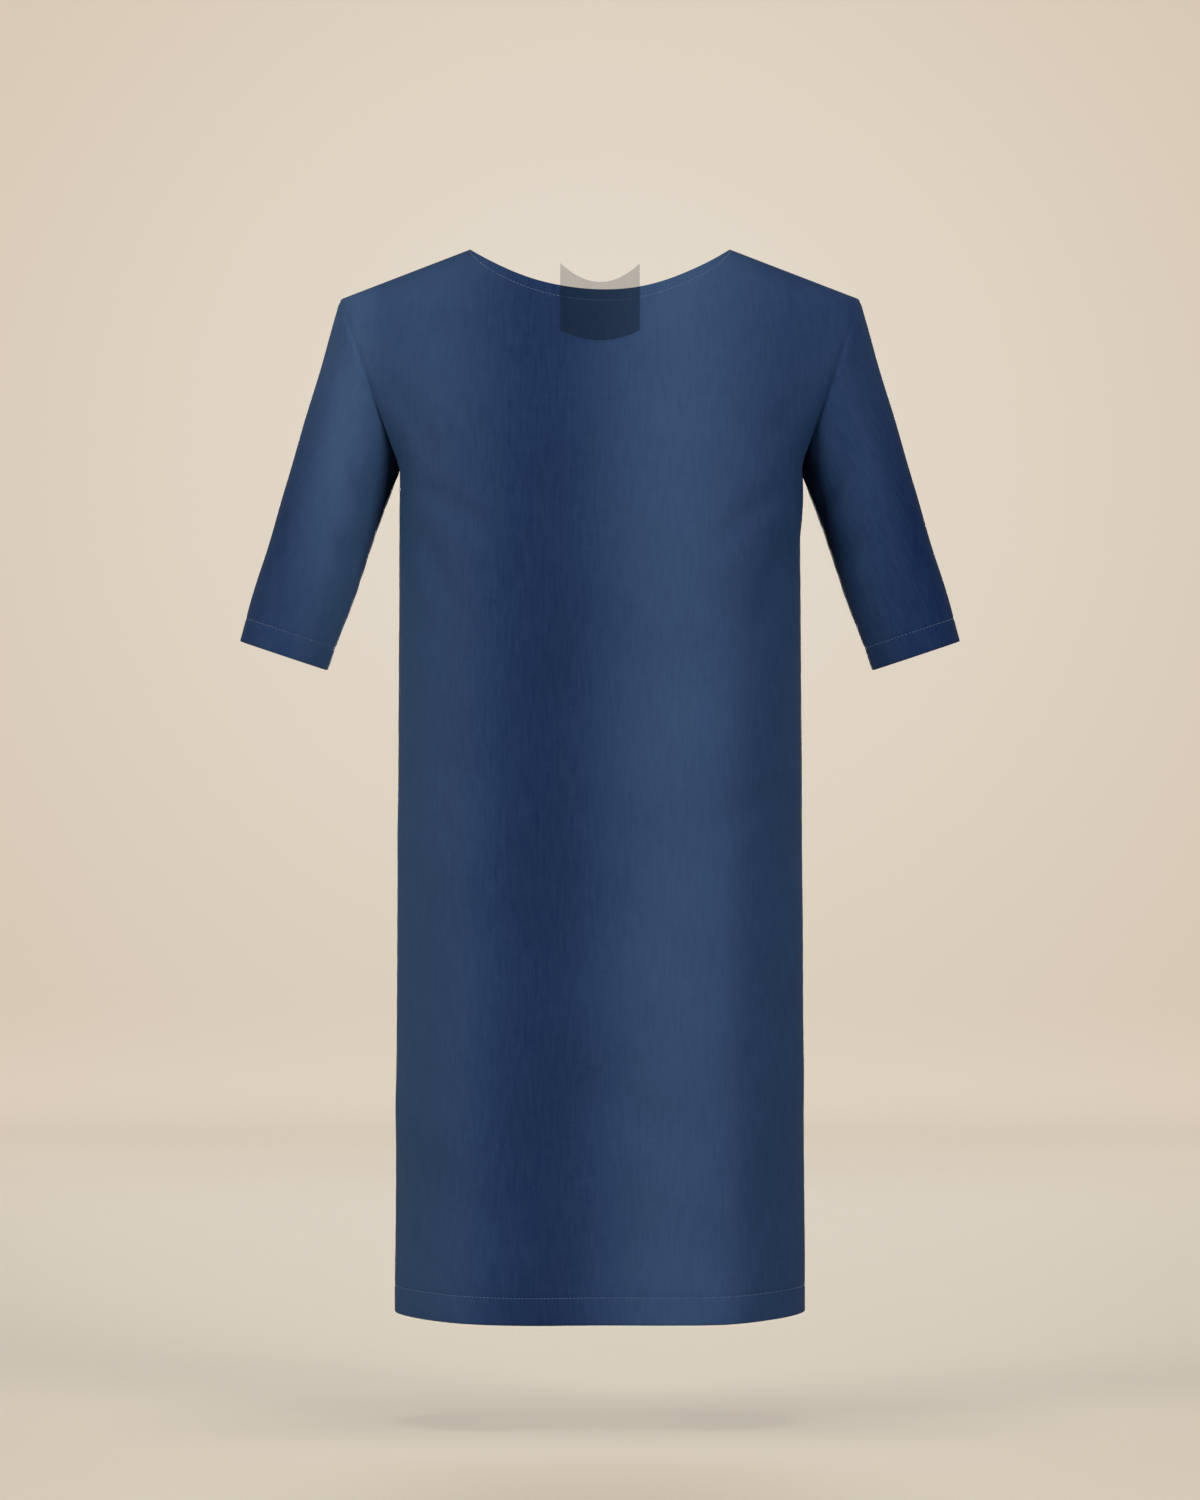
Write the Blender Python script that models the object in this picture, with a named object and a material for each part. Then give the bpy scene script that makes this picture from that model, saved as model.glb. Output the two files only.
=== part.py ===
"""Tunic top: a straight tunic with a boat neck and elbow-length sleeves, filled out as when it is worn.

A front and a back meet at shoulder and side seams, two set-in sleeves fill the armholes, and a small
sheer tab stands in the middle of the front neckline. Every piece of cloth is a thin wall whose outer
face is worked out from the sizes below and whose inner face lies one wall thickness inside it.

Units are metres, +Z is up and the front faces -Y. The origin is midway between the two points where
the neckline meets the shoulder seams. "Fall" is a distance straight down from there.
"""

import math
from collections import namedtuple

import bpy
import numpy as np

# Outline, half of it from the centre line
NECK_HALF = 0.1105
NECK_DROP = 0.0378
NECK_FULLNESS = 0.88
SHOULDER_HALF = 0.221
SHOULDER_FALL = 0.0425
CHEST_HALF = 0.170
UNDERARM_FALL = 0.187
SHOULDER_SLOPE = (SHOULDER_HALF - NECK_HALF) / SHOULDER_FALL
HEM_HALF = 0.17425
HEM_FALL = 0.900
HEM_DIP = 0.006
CUFF_OUTER = (0.306, 0.3315)
CUFF_INNER = (0.2295, 0.357)

# Cloth
WALL = 0.0020
SEAM_GAP = 0.0004
SECTION_POWER = 2.3

# Armhole and cuff, front to back
ARMHOLE_FRONT = 0.056
ARMHOLE_BACK = 0.052
CUFF_FRONT = 0.046
CUFF_BACK = 0.044
CUFF_FORWARD = 0.012

# Sheer tab at the neckline
TAB_HALF = 0.0336
TAB_TOP_FALL = 0.0150
TAB_TOP_SCOOP = 0.0160
TAB_BOTTOM_FALL = 0.0720
TAB_BOTTOM_CURVE = 0.0084
TAB_WALL = 0.0010
TAB_LIFT = 0.0004

# Grids of points: the yoke is the stretch of a panel above a line that sags between the underarms
COLUMNS = 36
NECK_COLUMNS = 20
NECK_SHARE = NECK_COLUMNS / COLUMNS
YOKE_ROWS = 14
YOKE_SAG = 0.045
SKIRT_ROWS = 14
SLEEVE_RINGS = 11
TAB_COLUMNS = 12
TAB_ROWS = 10

# How fast the armhole's own form takes over towards it, how far its rim leans, how soon folds are full
EDGE_REACH = 6
RIM_LEAN = 0.5
FOLD_GROWTH = 1.6
SHARP_EDGE = math.radians(50)

Level = namedtuple("Level", "fall front back")
LEVELS = (
    Level(0.000, 0.056, 0.052),
    Level(0.040, 0.068, 0.064),
    Level(0.090, 0.084, 0.084),
    Level(0.140, 0.099, 0.095),
    Level(0.187, 0.110, 0.100),
    Level(0.245, 0.119, 0.101),
    Level(0.320, 0.120, 0.099),
    Level(0.420, 0.117, 0.096),
    Level(0.560, 0.117, 0.101),
    Level(0.720, 0.119, 0.106),
    Level(0.910, 0.121, 0.108),
)

# How much wider than the side seams a level's section would be, down the arm's root
Root = namedtuple("Root", "fall extra")
ROOTS = (
    Root(0.085, 0.077),
    Root(0.125, 0.062),
    Root(0.187, 0.019),
    Root(0.240, 0.003),
    Root(0.300, 0.000),
)

# A soft trough (depth over 0) or ridge (under 0) that runs down a panel; across is to the wearer's left
Fold = namedtuple("Fold", "across_top across_hem depth_top depth_hem half_width starts")
FRONT_FOLDS = (
    Fold(0.004, 0.006, 0.014, 0.034, 0.073, -0.05),
    Fold(-0.122, -0.126, 0.000, -0.009, 0.038, 0.20),
    Fold(0.112, 0.108, 0.000, -0.009, 0.027, 0.22),
)
BACK_FOLDS = (
    Fold(-0.004, -0.010, 0.004, 0.014, 0.040, 0.00),
    Fold(-0.100, -0.090, 0.000, 0.011, 0.026, 0.30),
    Fold(0.092, 0.104, 0.000, 0.012, 0.028, 0.24),
)

Side = namedtuple("Side", "facing depths folds armhole cuff")
FRONT = Side(-1, tuple(level.front for level in LEVELS), FRONT_FOLDS, ARMHOLE_FRONT, CUFF_FRONT)
BACK = Side(1, tuple(level.back for level in LEVELS), BACK_FOLDS, ARMHOLE_BACK, CUFF_BACK)

NAVY = (0.027, 0.052, 0.112, 1.0)
SHEER_BLACK = (0.010, 0.010, 0.010, 0.25)


def smooth_through(at, knots, values, first_slope=None):
    """Values at any place from a table, along a cubic that passes through every knot."""
    knots = np.asarray(knots, float)
    values = np.asarray(values, float)
    slopes = np.gradient(values, knots)
    if first_slope is not None:
        slopes[0] = first_slope
    at = np.clip(at, knots[0], knots[-1])
    i = np.clip(np.searchsorted(knots, at, side="right") - 1, 0, len(knots) - 2)
    step = knots[i + 1] - knots[i]
    t = (at - knots[i]) / step
    return (
        (2 * t**3 - 3 * t**2 + 1) * values[i]
        + (t**3 - 2 * t**2 + t) * step * slopes[i]
        + (3 * t**2 - 2 * t**3) * values[i + 1]
        + (t**3 - t**2) * step * slopes[i + 1]
    )


def smoothstep(t):
    t = np.clip(t, 0.0, 1.0)
    return t * t * (3 - 2 * t)


def side_half(fall):
    """Half the width between the side seams, carried on above the underarm."""
    return CHEST_HALF + (HEM_HALF - CHEST_HALF) * (fall - UNDERARM_FALL) / (HEM_FALL - UNDERARM_FALL)


def fold_depth(side, across, fall):
    """How far the folds of a panel push its surface in, at each place."""
    total = np.zeros_like(across)
    down = np.clip(fall / HEM_FALL, 0.0, 1.0)
    for fold in side.folds:
        centre = fold.across_top + (fold.across_hem - fold.across_top) * down
        grown = smoothstep((fall - fold.starts) / (HEM_FALL - fold.starts) * FOLD_GROWTH)
        depth = fold.depth_top + (fold.depth_hem - fold.depth_top) * grown
        total += depth * np.exp(-(((across - centre) / fold.half_width) ** 2))
    return total


def reach(side, across, fall):
    """Distance of a panel from the seam plane before its section rounds it off."""
    return smooth_through(fall, [level.fall for level in LEVELS], side.depths) - fold_depth(side, across, fall)


def soft_half_width(fall):
    """Half the width that a level's section would have if it ran on through the armhole, away from the edge."""
    line = NECK_HALF + SHOULDER_SLOPE * fall
    knots = [SHOULDER_FALL] + [root.fall for root in ROOTS]
    extra = [SHOULDER_HALF - side_half(SHOULDER_FALL)] + [root.extra for root in ROOTS]
    wide = side_half(fall) + smooth_through(fall, knots, extra, SHOULDER_SLOPE)
    return np.where(fall < SHOULDER_FALL, line, wide)


def exact_half_width(side, across, fall):
    """The same half width worked out so that the section passes through the armhole or the side seam."""
    w = np.clip((fall - SHOULDER_FALL) / (UNDERARM_FALL - SHOULDER_FALL), 0.0, 1.0)
    armhole = SHOULDER_HALF + (CHEST_HALF - SHOULDER_HALF) * w
    depth = side.armhole * 2 * np.sqrt(w * (1 - w))
    share = depth / reach(side, np.sign(across) * armhole, fall)
    at_arm = armhole / (1 - share**SECTION_POWER) ** (1 / SECTION_POWER)
    line = NECK_HALF + SHOULDER_SLOPE * fall
    return np.where(fall < SHOULDER_FALL, line, np.where(fall < UNDERARM_FALL, at_arm, side_half(fall)))


def form_depth(side, across, fall, edge=0.0):
    """Distance of the cloth from the seam plane; edge is 1 along the armhole and side seam, 0 in the middle."""
    half = soft_half_width(fall) * (1 - edge) + exact_half_width(side, across, fall) * edge
    share = np.clip(np.abs(across) / half, 0.0, 1.0)
    return (1 - share**SECTION_POWER) ** (1 / SECTION_POWER) * reach(side, across, fall)


def armhole_line(v):
    """Across and fall of the armhole, v running from the shoulder tip (0) to the underarm (1)."""
    w = (1 - np.cos(np.pi * v)) / 2
    across = SHOULDER_HALF + (CHEST_HALF - SHOULDER_HALF) * w
    return across, SHOULDER_FALL + (UNDERARM_FALL - SHOULDER_FALL) * w


def top_line(u):
    """Across and fall of the upper edge of a panel: shoulder seam, neckline, shoulder seam."""
    turn = np.sin(np.pi / 2 * np.clip(u / NECK_SHARE, -1.0, 1.0))
    along = np.clip((np.abs(u) - NECK_SHARE) / (1 - NECK_SHARE), 0.0, 1.0)
    across = NECK_HALF * turn + np.sign(u) * (SHOULDER_HALF - NECK_HALF) * along
    return across, NECK_DROP * (1 - turn**2) ** NECK_FULLNESS + SHOULDER_FALL * along


def yoke_line(u):
    """Across and fall of the line from underarm to underarm, which sags towards the middle."""
    open_share = np.cos(np.pi * u / 2)
    return CHEST_HALF * np.sin(np.pi * u / 2), UNDERARM_FALL + YOKE_SAG * (1 - (1 - open_share) ** 2)


def hem_line(u):
    across = HEM_HALF * np.sin(np.pi * u / 2)
    return across, HEM_FALL + HEM_DIP * (1 - (across / HEM_HALF) ** 2)


def yoke_rows(side):
    """Points of a panel between its upper edge and the yoke line, row by row."""
    v, u = np.meshgrid(np.arange(YOKE_ROWS + 1) / YOKE_ROWS, np.linspace(-1, 1, COLUMNS + 1), indexing="ij")
    blend = 1 - np.cos(np.pi * v / 2)
    near_edge = np.abs(u) ** EDGE_REACH
    edge = armhole_line(v)
    place = []
    for top, yoke, corner_top, corner_yoke, side_edge, sign in (
        (top_line(u)[0], yoke_line(u)[0], SHOULDER_HALF, CHEST_HALF, edge[0], np.sign(u)),
        (top_line(u)[1], yoke_line(u)[1], SHOULDER_FALL, UNDERARM_FALL, edge[1], 1.0),
    ):
        straight = corner_top + (corner_yoke - corner_top) * blend
        place.append(top + (yoke - top) * blend + near_edge * sign * (side_edge - straight))
    across, fall = place
    return np.stack([across, side.facing * form_depth(side, across, fall, near_edge), -fall], axis=-1)


def skirt_rows(side):
    """Points of a panel from the yoke line down to the hem, row by row."""
    v, u = np.meshgrid(np.arange(SKIRT_ROWS + 1) / SKIRT_ROWS, np.linspace(-1, 1, COLUMNS + 1), indexing="ij")
    yoke, hem = yoke_line(u), hem_line(u)
    across = yoke[0] + (hem[0] - yoke[0]) * v
    fall = yoke[1] + (hem[1] - yoke[1]) * v
    depth = form_depth(side, across, fall, np.abs(u) ** EDGE_REACH)
    return np.stack([across, side.facing * depth, -fall], axis=-1)


def panel(side):
    """The outer face of the front or back as a grid, rows running down and columns across."""
    return np.concatenate([yoke_rows(side)[:-1], skirt_rows(side)])


def sleeve(hand):
    """The outer face of a sleeve: rings from the armhole to the cuff, each from the top seam round the front."""
    half = np.arange(YOKE_ROWS) / YOKE_ROWS
    v = np.concatenate([half, 1 - half])
    w = (1 - np.cos(np.pi * v)) / 2
    front = np.arange(2 * YOKE_ROWS) < YOKE_ROWS
    facing = np.where(front, FRONT.facing, BACK.facing)
    armhole = np.where(front, FRONT.armhole, BACK.armhole)
    cuff = np.where(front, FRONT.cuff, BACK.cuff)
    rings = []
    for t in np.arange(SLEEVE_RINGS + 1) / SLEEVE_RINGS:
        outer = [(1 - t) * a + t * b for a, b in zip((SHOULDER_HALF, SHOULDER_FALL), CUFF_OUTER)]
        inner = [(1 - t) * a + t * b for a, b in zip((CHEST_HALF, UNDERARM_FALL), CUFF_INNER)]
        across = outer[0] + (inner[0] - outer[0]) * w
        fall = outer[1] + (inner[1] - outer[1]) * w
        depth = (armhole + (cuff - armhole) * t) * np.sin(np.pi * v)
        rings.append(np.stack([hand * across, facing * depth - CUFF_FORWARD * t**2, -fall], axis=-1))
    return np.array(rings)


def tab():
    """The outer face of the front, and what would carry on above the neckline, where the tab covers it."""
    across = np.linspace(-TAB_HALF, TAB_HALF, TAB_COLUMNS + 1)[None, :]
    middle = 1 - (across / TAB_HALF) ** 2
    top = TAB_TOP_FALL + TAB_TOP_SCOOP * middle
    bottom = TAB_BOTTOM_FALL + TAB_BOTTOM_CURVE * middle
    fall = top + (bottom - top) * np.linspace(0, 1, TAB_ROWS + 1)[:, None]
    across = np.broadcast_to(across, fall.shape)
    return np.stack([across, FRONT.facing * form_depth(FRONT, across, fall), -fall], axis=-1)


def quads(shape, ring=False, turned=False):
    """Corner numbers of a grid's faces; a ring's last column joins its first."""
    rows, columns = shape
    number = np.arange(rows * columns).reshape(rows, columns)
    if ring:
        number = np.concatenate([number, number[:, :1]], axis=1)
    faces = np.stack([number[:-1, :-1], number[1:, :-1], number[1:, 1:], number[:-1, 1:]], axis=-1)
    faces = faces.reshape(-1, 4)
    return faces[:, ::-1] if turned else faces


def unit(vectors):
    return vectors / np.linalg.norm(vectors, axis=-1, keepdims=True)


def outward(points, ring=False, turned=False):
    """Unit directions out of a grid at its points, from the faces that meet there."""
    rows, columns = points.shape[:2]
    flat = points.reshape(-1, 3)
    faces = quads((rows, columns), ring, turned)
    corner = flat[faces]
    face_normals = np.cross(corner[:, 2] - corner[:, 0], corner[:, 3] - corner[:, 1])
    total = np.zeros_like(flat)
    for k in range(4):
        np.add.at(total, faces[:, k], face_normals)
    return unit(total).reshape(points.shape)


def arm_axis(hand):
    """Square to the plane that an armhole lies in, pointing down the sleeve."""
    return unit(np.array([hand * (UNDERARM_FALL - SHOULDER_FALL), 0.0, CHEST_HALF - SHOULDER_HALF]))


def out_of_armhole(points, hand):
    """Unit directions away from an armhole's middle, leaning down the sleeve."""
    middle = np.array([hand * (SHOULDER_HALF + CHEST_HALF) / 2, 0.0, -(SHOULDER_FALL + UNDERARM_FALL) / 2])
    return unit(unit(points - middle) + RIM_LEAN * arm_axis(hand))


def panel_walls(side):
    """Outer and inner grid of the front or back, drawn back from its seams."""
    outer = panel(side)
    normals = outward(outer, turned=side.facing > 0)
    flank = (COLUMNS - NECK_COLUMNS) // 2
    flat_seams = [
        (0, slice(0, flank + 1)),
        (0, slice(COLUMNS - flank, None)),
        (slice(YOKE_ROWS, None), 0),
        (slice(YOKE_ROWS, None), -1),
    ]
    moved = outer.copy()
    for seam in flat_seams:
        normals[(*seam, 1)] = 0.0
        moved[(*seam, 1)] += side.facing * SEAM_GAP / 2
    normals = unit(normals)
    for column, hand in ((0, -1), (-1, 1)):
        armhole = (slice(0, YOKE_ROWS + 1), column)
        normals[armhole] = out_of_armhole(outer[armhole], hand)
        moved[armhole] -= SEAM_GAP / 2 * arm_axis(hand)
    return moved, moved - WALL * normals


def sleeve_walls(hand):
    """Outer and inner grid of a sleeve, drawn back from its armhole."""
    outer = sleeve(hand)
    normals = outward(outer, ring=True, turned=hand > 0)
    normals[0] = out_of_armhole(outer[0], hand)
    outer[0] += SEAM_GAP / 2 * arm_axis(hand)
    return outer, outer - WALL * normals


def tab_walls():
    """Outer and inner grid of the tab, lifted off the front."""
    on_front = tab()
    normals = outward(on_front)
    return on_front + (TAB_LIFT + TAB_WALL) * normals, on_front + TAB_LIFT * normals


def wall_object(name, outer, inner, ring, turned, material):
    """One closed body between an outer and an inner grid of points."""
    rows, columns = outer.shape[:2]
    count = rows * columns
    faces = [
        quads((rows, columns), ring, turned),
        quads((rows, columns), ring, not turned) + count,
    ]
    number = np.arange(count).reshape(rows, columns)
    if ring:
        number = np.concatenate([number, number[:, :1]], axis=1)
        borders = [number[0], number[-1, ::-1]]
    else:
        borders = [number[0], number[:, -1], number[-1, ::-1], number[::-1, 0]]
    for border in borders:
        rim = np.stack([border[:-1], border[1:], border[1:] + count, border[:-1] + count], axis=-1)
        faces.append(rim[:, ::-1] if turned else rim)
    points = np.concatenate([outer.reshape(-1, 3), inner.reshape(-1, 3)])
    mesh = bpy.data.meshes.new(name)
    mesh.from_pydata(points.tolist(), [], np.concatenate(faces).tolist())
    mesh.shade_smooth()
    mesh.set_sharp_from_angle(angle=SHARP_EDGE)
    mesh.materials.append(material)
    made = bpy.data.objects.new(name, mesh)
    bpy.context.scene.collection.objects.link(made)
    return made


def cloth_material(name, colour, roughness):
    material = bpy.data.materials.new(name)
    material.use_nodes = True
    shader = material.node_tree.nodes["Principled BSDF"]
    shader.inputs["Base Color"].default_value = (*colour[:3], 1.0)
    shader.inputs["Alpha"].default_value = colour[3]
    shader.inputs["Roughness"].default_value = roughness
    shader.inputs["Metallic"].default_value = 0.0
    return material


def clear_scene():
    for old in list(bpy.data.objects):
        bpy.data.objects.remove(old, do_unlink=True)


def build():
    clear_scene()
    navy = cloth_material("navy_cloth", NAVY, 0.75)
    sheer = cloth_material("sheer_cloth", SHEER_BLACK, 0.6)

    wall_object("front", *panel_walls(FRONT), False, False, navy)
    wall_object("back", *panel_walls(BACK), False, True, navy)
    wall_object("sleeve_left", *sleeve_walls(1), True, True, navy)
    wall_object("sleeve_right", *sleeve_walls(-1), True, False, navy)
    wall_object("neck_tab", *tab_walls(), False, False, sheer)


build()
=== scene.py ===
"""Tunic top: a straight navy tunic with a boat neck and elbow-length sleeves, filled out and hollow.

The cloth is five sewn pieces: front, back, two set-in sleeves and a small sheer tab at the neckline.
Each is a surface worked out as whole arrays on a grid of two parameters, given its soft folds, creases,
seam rolls and turned hems, and closed into a thin shell. Stitches are small threads laid on the cloth.

Units are metres, +Z is up and the front faces -Y. The origin is midway between the two points where the
neckline meets the shoulder seams. A fall is a distance straight down from there.
"""

import logging
import math
from dataclasses import dataclass, field
from enum import Enum
from typing import Optional, Sequence, Union

import bpy
import numpy as np
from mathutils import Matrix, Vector


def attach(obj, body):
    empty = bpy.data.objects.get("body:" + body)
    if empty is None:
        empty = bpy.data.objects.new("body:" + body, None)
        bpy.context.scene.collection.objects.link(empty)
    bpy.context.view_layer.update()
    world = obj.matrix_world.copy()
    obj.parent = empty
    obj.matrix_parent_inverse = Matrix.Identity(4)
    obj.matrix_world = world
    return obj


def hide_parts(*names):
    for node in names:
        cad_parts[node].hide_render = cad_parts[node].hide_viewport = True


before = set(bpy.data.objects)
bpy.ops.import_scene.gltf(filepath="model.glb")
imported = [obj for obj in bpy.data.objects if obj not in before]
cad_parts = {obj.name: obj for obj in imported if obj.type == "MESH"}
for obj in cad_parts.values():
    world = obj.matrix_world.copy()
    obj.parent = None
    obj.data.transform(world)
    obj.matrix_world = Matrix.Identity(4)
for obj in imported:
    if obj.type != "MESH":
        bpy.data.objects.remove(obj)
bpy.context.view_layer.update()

BODY = "root"
LOG = logging.getLogger("tunic")
LEAST_LENGTH = 1e-12
TRACE = 1e-9
CREASE_POINTS = 25

Array = np.ndarray
Colour = tuple[float, float, float]
Point = tuple[float, float]
Numbers = tuple[float, ...]


# ---- Sizes ----


class Facing(Enum):
    """Which way a panel faces along Y."""

    FRONT = -1
    BACK = 1


class Hand(Enum):
    """The wearer's side that a sleeve is on, as a sign of X."""

    LEFT = 1
    RIGHT = -1


@dataclass(frozen=True)
class Cut:
    """Outline of the tunic as it hangs, half of it from the centre line.

    The level falls are those of each half form's table of depths. The root extras say how much wider
    than the side seams a section would be at each root fall, down the arm's root.
    """

    neck_half: float = 0.1105
    neck_drop: float = 0.0378
    neck_fullness: float = 0.88
    neck_share: float = 20 / 36
    shoulder_half: float = 0.221
    shoulder_fall: float = 0.0425
    chest_half: float = 0.170
    underarm_fall: float = 0.187
    hem_half: float = 0.17425
    hem_fall: float = 0.900
    hem_dip: float = 0.006
    yoke_sag: float = 0.045
    cuff_outer: Point = (0.306, 0.3315)
    cuff_inner: Point = (0.2295, 0.357)
    cuff_forward: float = 0.012
    section_power: float = 2.3
    edge_power: float = 6.0
    fold_growth: float = 1.6
    rim_lean: float = 0.5
    level_falls: Numbers = (0.000, 0.040, 0.090, 0.140, 0.187, 0.245, 0.320, 0.420, 0.560, 0.720, 0.910)
    root_falls: Numbers = (0.085, 0.125, 0.187, 0.240, 0.300)
    root_extras: Numbers = (0.077, 0.062, 0.019, 0.003, 0.000)

    @property
    def shoulder_run(self) -> float:
        """How far the shoulder line runs out."""
        return self.shoulder_half - self.neck_half

    @property
    def shoulder_slope(self) -> float:
        """How far the shoulder line runs out for each metre that it falls."""
        return self.shoulder_run / self.shoulder_fall


@dataclass(frozen=True)
class Fold:
    """A soft trough (depth over 0) or ridge that runs down a whole panel."""

    across_top: float
    across_hem: float
    depth_top: float
    depth_hem: float
    half_width: float
    starts: float


@dataclass(frozen=True)
class Crease:
    """A short soft trough along a bent line; its places are (across, down)."""

    start: Point
    middle: Point
    end: Point
    depth: float
    half_width: float


@dataclass(frozen=True)
class Swell:
    """One slow wave of the cloth: its height, wavelength, heading in degrees and phase in turns."""

    height: float
    wavelength: float
    heading: float
    phase: float


CUT = Cut()

FRONT_FOLDS = (
    Fold(0.004, 0.006, 0.014, 0.034, 0.073, -0.05),
    Fold(-0.122, -0.126, 0.000, -0.009, 0.038, 0.20),
    Fold(0.112, 0.108, 0.000, -0.009, 0.027, 0.22),
)

BACK_FOLDS = (
    Fold(-0.004, -0.010, 0.004, 0.014, 0.040, 0.00),
    Fold(-0.100, -0.090, 0.000, 0.011, 0.026, 0.30),
    Fold(0.092, 0.104, 0.000, 0.012, 0.028, 0.24),
)

FRONT_CREASES = (
    Crease((-0.162, 0.200), (-0.128, 0.214), (-0.086, 0.248), 0.0039, 0.011),
    Crease((-0.166, 0.226), (-0.140, 0.262), (-0.116, 0.318), 0.0029, 0.012),
    Crease((0.160, 0.204), (0.124, 0.222), (0.092, 0.262), 0.0034, 0.012),
    Crease((0.167, 0.232), (0.146, 0.276), (0.132, 0.338), 0.0026, 0.011),
    Crease((-0.176, 0.112), (-0.150, 0.150), (-0.138, 0.196), 0.0029, 0.014),
    Crease((0.174, 0.118), (0.152, 0.150), (0.142, 0.190), 0.0023, 0.013),
    Crease((-0.160, 0.420), (-0.110, 0.452), (-0.052, 0.462), 0.0021, 0.016),
    Crease((0.164, 0.450), (0.120, 0.484), (0.070, 0.492), 0.0018, 0.015),
)

BACK_CREASES = (
    Crease((-0.158, 0.198), (-0.110, 0.206), (-0.050, 0.232), 0.0058, 0.013),
    Crease((0.160, 0.202), (0.104, 0.216), (0.060, 0.246), 0.0050, 0.012),
    Crease((-0.060, 0.330), (0.000, 0.346), (0.072, 0.334), 0.0054, 0.017),
    Crease((-0.110, 0.392), (-0.040, 0.414), (0.030, 0.408), 0.0047, 0.016),
    Crease((0.020, 0.446), (0.080, 0.462), (0.136, 0.448), 0.0036, 0.015),
    Crease((-0.172, 0.116), (-0.140, 0.146), (-0.126, 0.190), 0.0036, 0.014),
    Crease((0.170, 0.112), (0.144, 0.140), (0.128, 0.188), 0.0040, 0.013),
)

# On a sleeve a place is (metres round from the seam, metres down), as on a sleeve 0.30 m round.
SLEEVE_GIRTH = 0.30

LEFT_SLEEVE_CREASES = (
    Crease((0.018, 0.030), (0.042, 0.052), (0.078, 0.060), 0.0036, 0.011),
    Crease((0.009, 0.064), (0.036, 0.096), (0.066, 0.110), 0.0030, 0.012),
    Crease((0.282, 0.034), (0.258, 0.056), (0.222, 0.070), 0.0039, 0.012),
    Crease((0.288, 0.080), (0.258, 0.118), (0.234, 0.130), 0.0027, 0.013),
)

RIGHT_SLEEVE_CREASES = (
    Crease((0.015, 0.034), (0.039, 0.050), (0.072, 0.066), 0.0033, 0.012),
    Crease((0.012, 0.078), (0.042, 0.100), (0.060, 0.122), 0.0027, 0.012),
    Crease((0.285, 0.030), (0.252, 0.060), (0.216, 0.066), 0.0036, 0.012),
    Crease((0.282, 0.086), (0.255, 0.108), (0.228, 0.134), 0.0030, 0.012),
)

PANEL_SWELLS = (
    Swell(0.00110, 0.210, 78.0, 0.10),
    Swell(0.00080, 0.150, 64.0, 0.45),
    Swell(0.00060, 0.118, 102.0, 0.80),
    Swell(0.00040, 0.084, 40.0, 0.27),
    Swell(0.00030, 0.067, 121.0, 0.63),
    Swell(0.00040, 0.092, 9.0, 0.30),
)

SLEEVE_SWELLS = (
    Swell(0.00040, 0.130, 80.0, 0.15),
    Swell(0.00030, 0.096, 58.0, 0.55),
    Swell(0.00022, 0.071, 110.0, 0.35),
)


# ---- Curves and waves ----


def smooth_through(
    at: Array, knots: Sequence[float], values: Sequence[float], first_slope: Optional[float] = None
) -> Array:
    """A table read as a smooth curve.

    Between two knots the value is a cubic whose slope at each knot is that of the line through its
    neighbours.

    Args:
        at: Places to read.
        knots: Rising places that the table is given for.
        values: The table's value at each knot.
        first_slope: The slope at the first knot, where it isn't the table's own.

    Returns:
        The value at each place.
    """
    where, table = np.asarray(knots, float), np.asarray(values, float)
    slopes = np.gradient(table, where)
    if first_slope is not None:
        slopes[0] = first_slope
    at = np.clip(at, where[0], where[-1])
    i = np.clip(np.searchsorted(where, at, side="right") - 1, 0, len(where) - 2)
    step = where[i + 1] - where[i]
    t = (at - where[i]) / step
    return (
        (2 * t**3 - 3 * t**2 + 1) * table[i]
        + (t**3 - 2 * t**2 + t) * step * slopes[i]
        + (3 * t**2 - 2 * t**3) * table[i + 1]
        + (t**3 - t**2) * step * slopes[i + 1]
    )


def smoothstep(t: Array) -> Array:
    """3 t squared less 2 t cubed, held at 0 below 0 and at 1 above 1."""
    t = np.clip(t, 0.0, 1.0)
    return t * t * (3 - 2 * t)


def bell(distance: Array, half_width: float) -> Array:
    """1 at no distance, falling off as e to the minus square of distance over half width."""
    return np.exp(-((distance / half_width) ** 2))


def hump(distance: Array, peak: float) -> Array:
    """q times e to the 1 less q, q being the square of distance over peak: 0, then 1 at the peak, then 0."""
    q = (distance / peak) ** 2
    return q * np.exp(1 - q)


def unit(vectors: Array) -> Array:
    """The vectors, each divided by its length."""
    return vectors / np.maximum(np.linalg.norm(vectors, axis=-1, keepdims=True), LEAST_LENGTH)


def crease_depth(creases: Sequence[Crease], across: Array, down: Array) -> Array:
    """How far short creases push the cloth in.

    Each runs along a quadratic curve through its three places. Its depth is a bell of the distance
    to the curve, times the sine of the place along it, so that it fades out at both ends.

    Args:
        creases: The creases.
        across: First coordinate of each point of the cloth.
        down: Second coordinate of each point of the cloth.

    Returns:
        Depth at each point.
    """
    total = np.zeros_like(across)
    t = np.linspace(0.0, 1.0, CREASE_POINTS)
    for crease in creases:
        ends = np.outer((1 - t) ** 2, crease.start) + np.outer(t**2, crease.end)
        line = ends + np.outer(2 * t * (1 - t), crease.middle)
        gap = np.hypot(across[..., None] - line[:, 0], down[..., None] - line[:, 1])
        nearest = np.argmin(gap, axis=-1)
        total += crease.depth * bell(gap.min(axis=-1), crease.half_width) * np.sin(np.pi * t[nearest])
    return total


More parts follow.
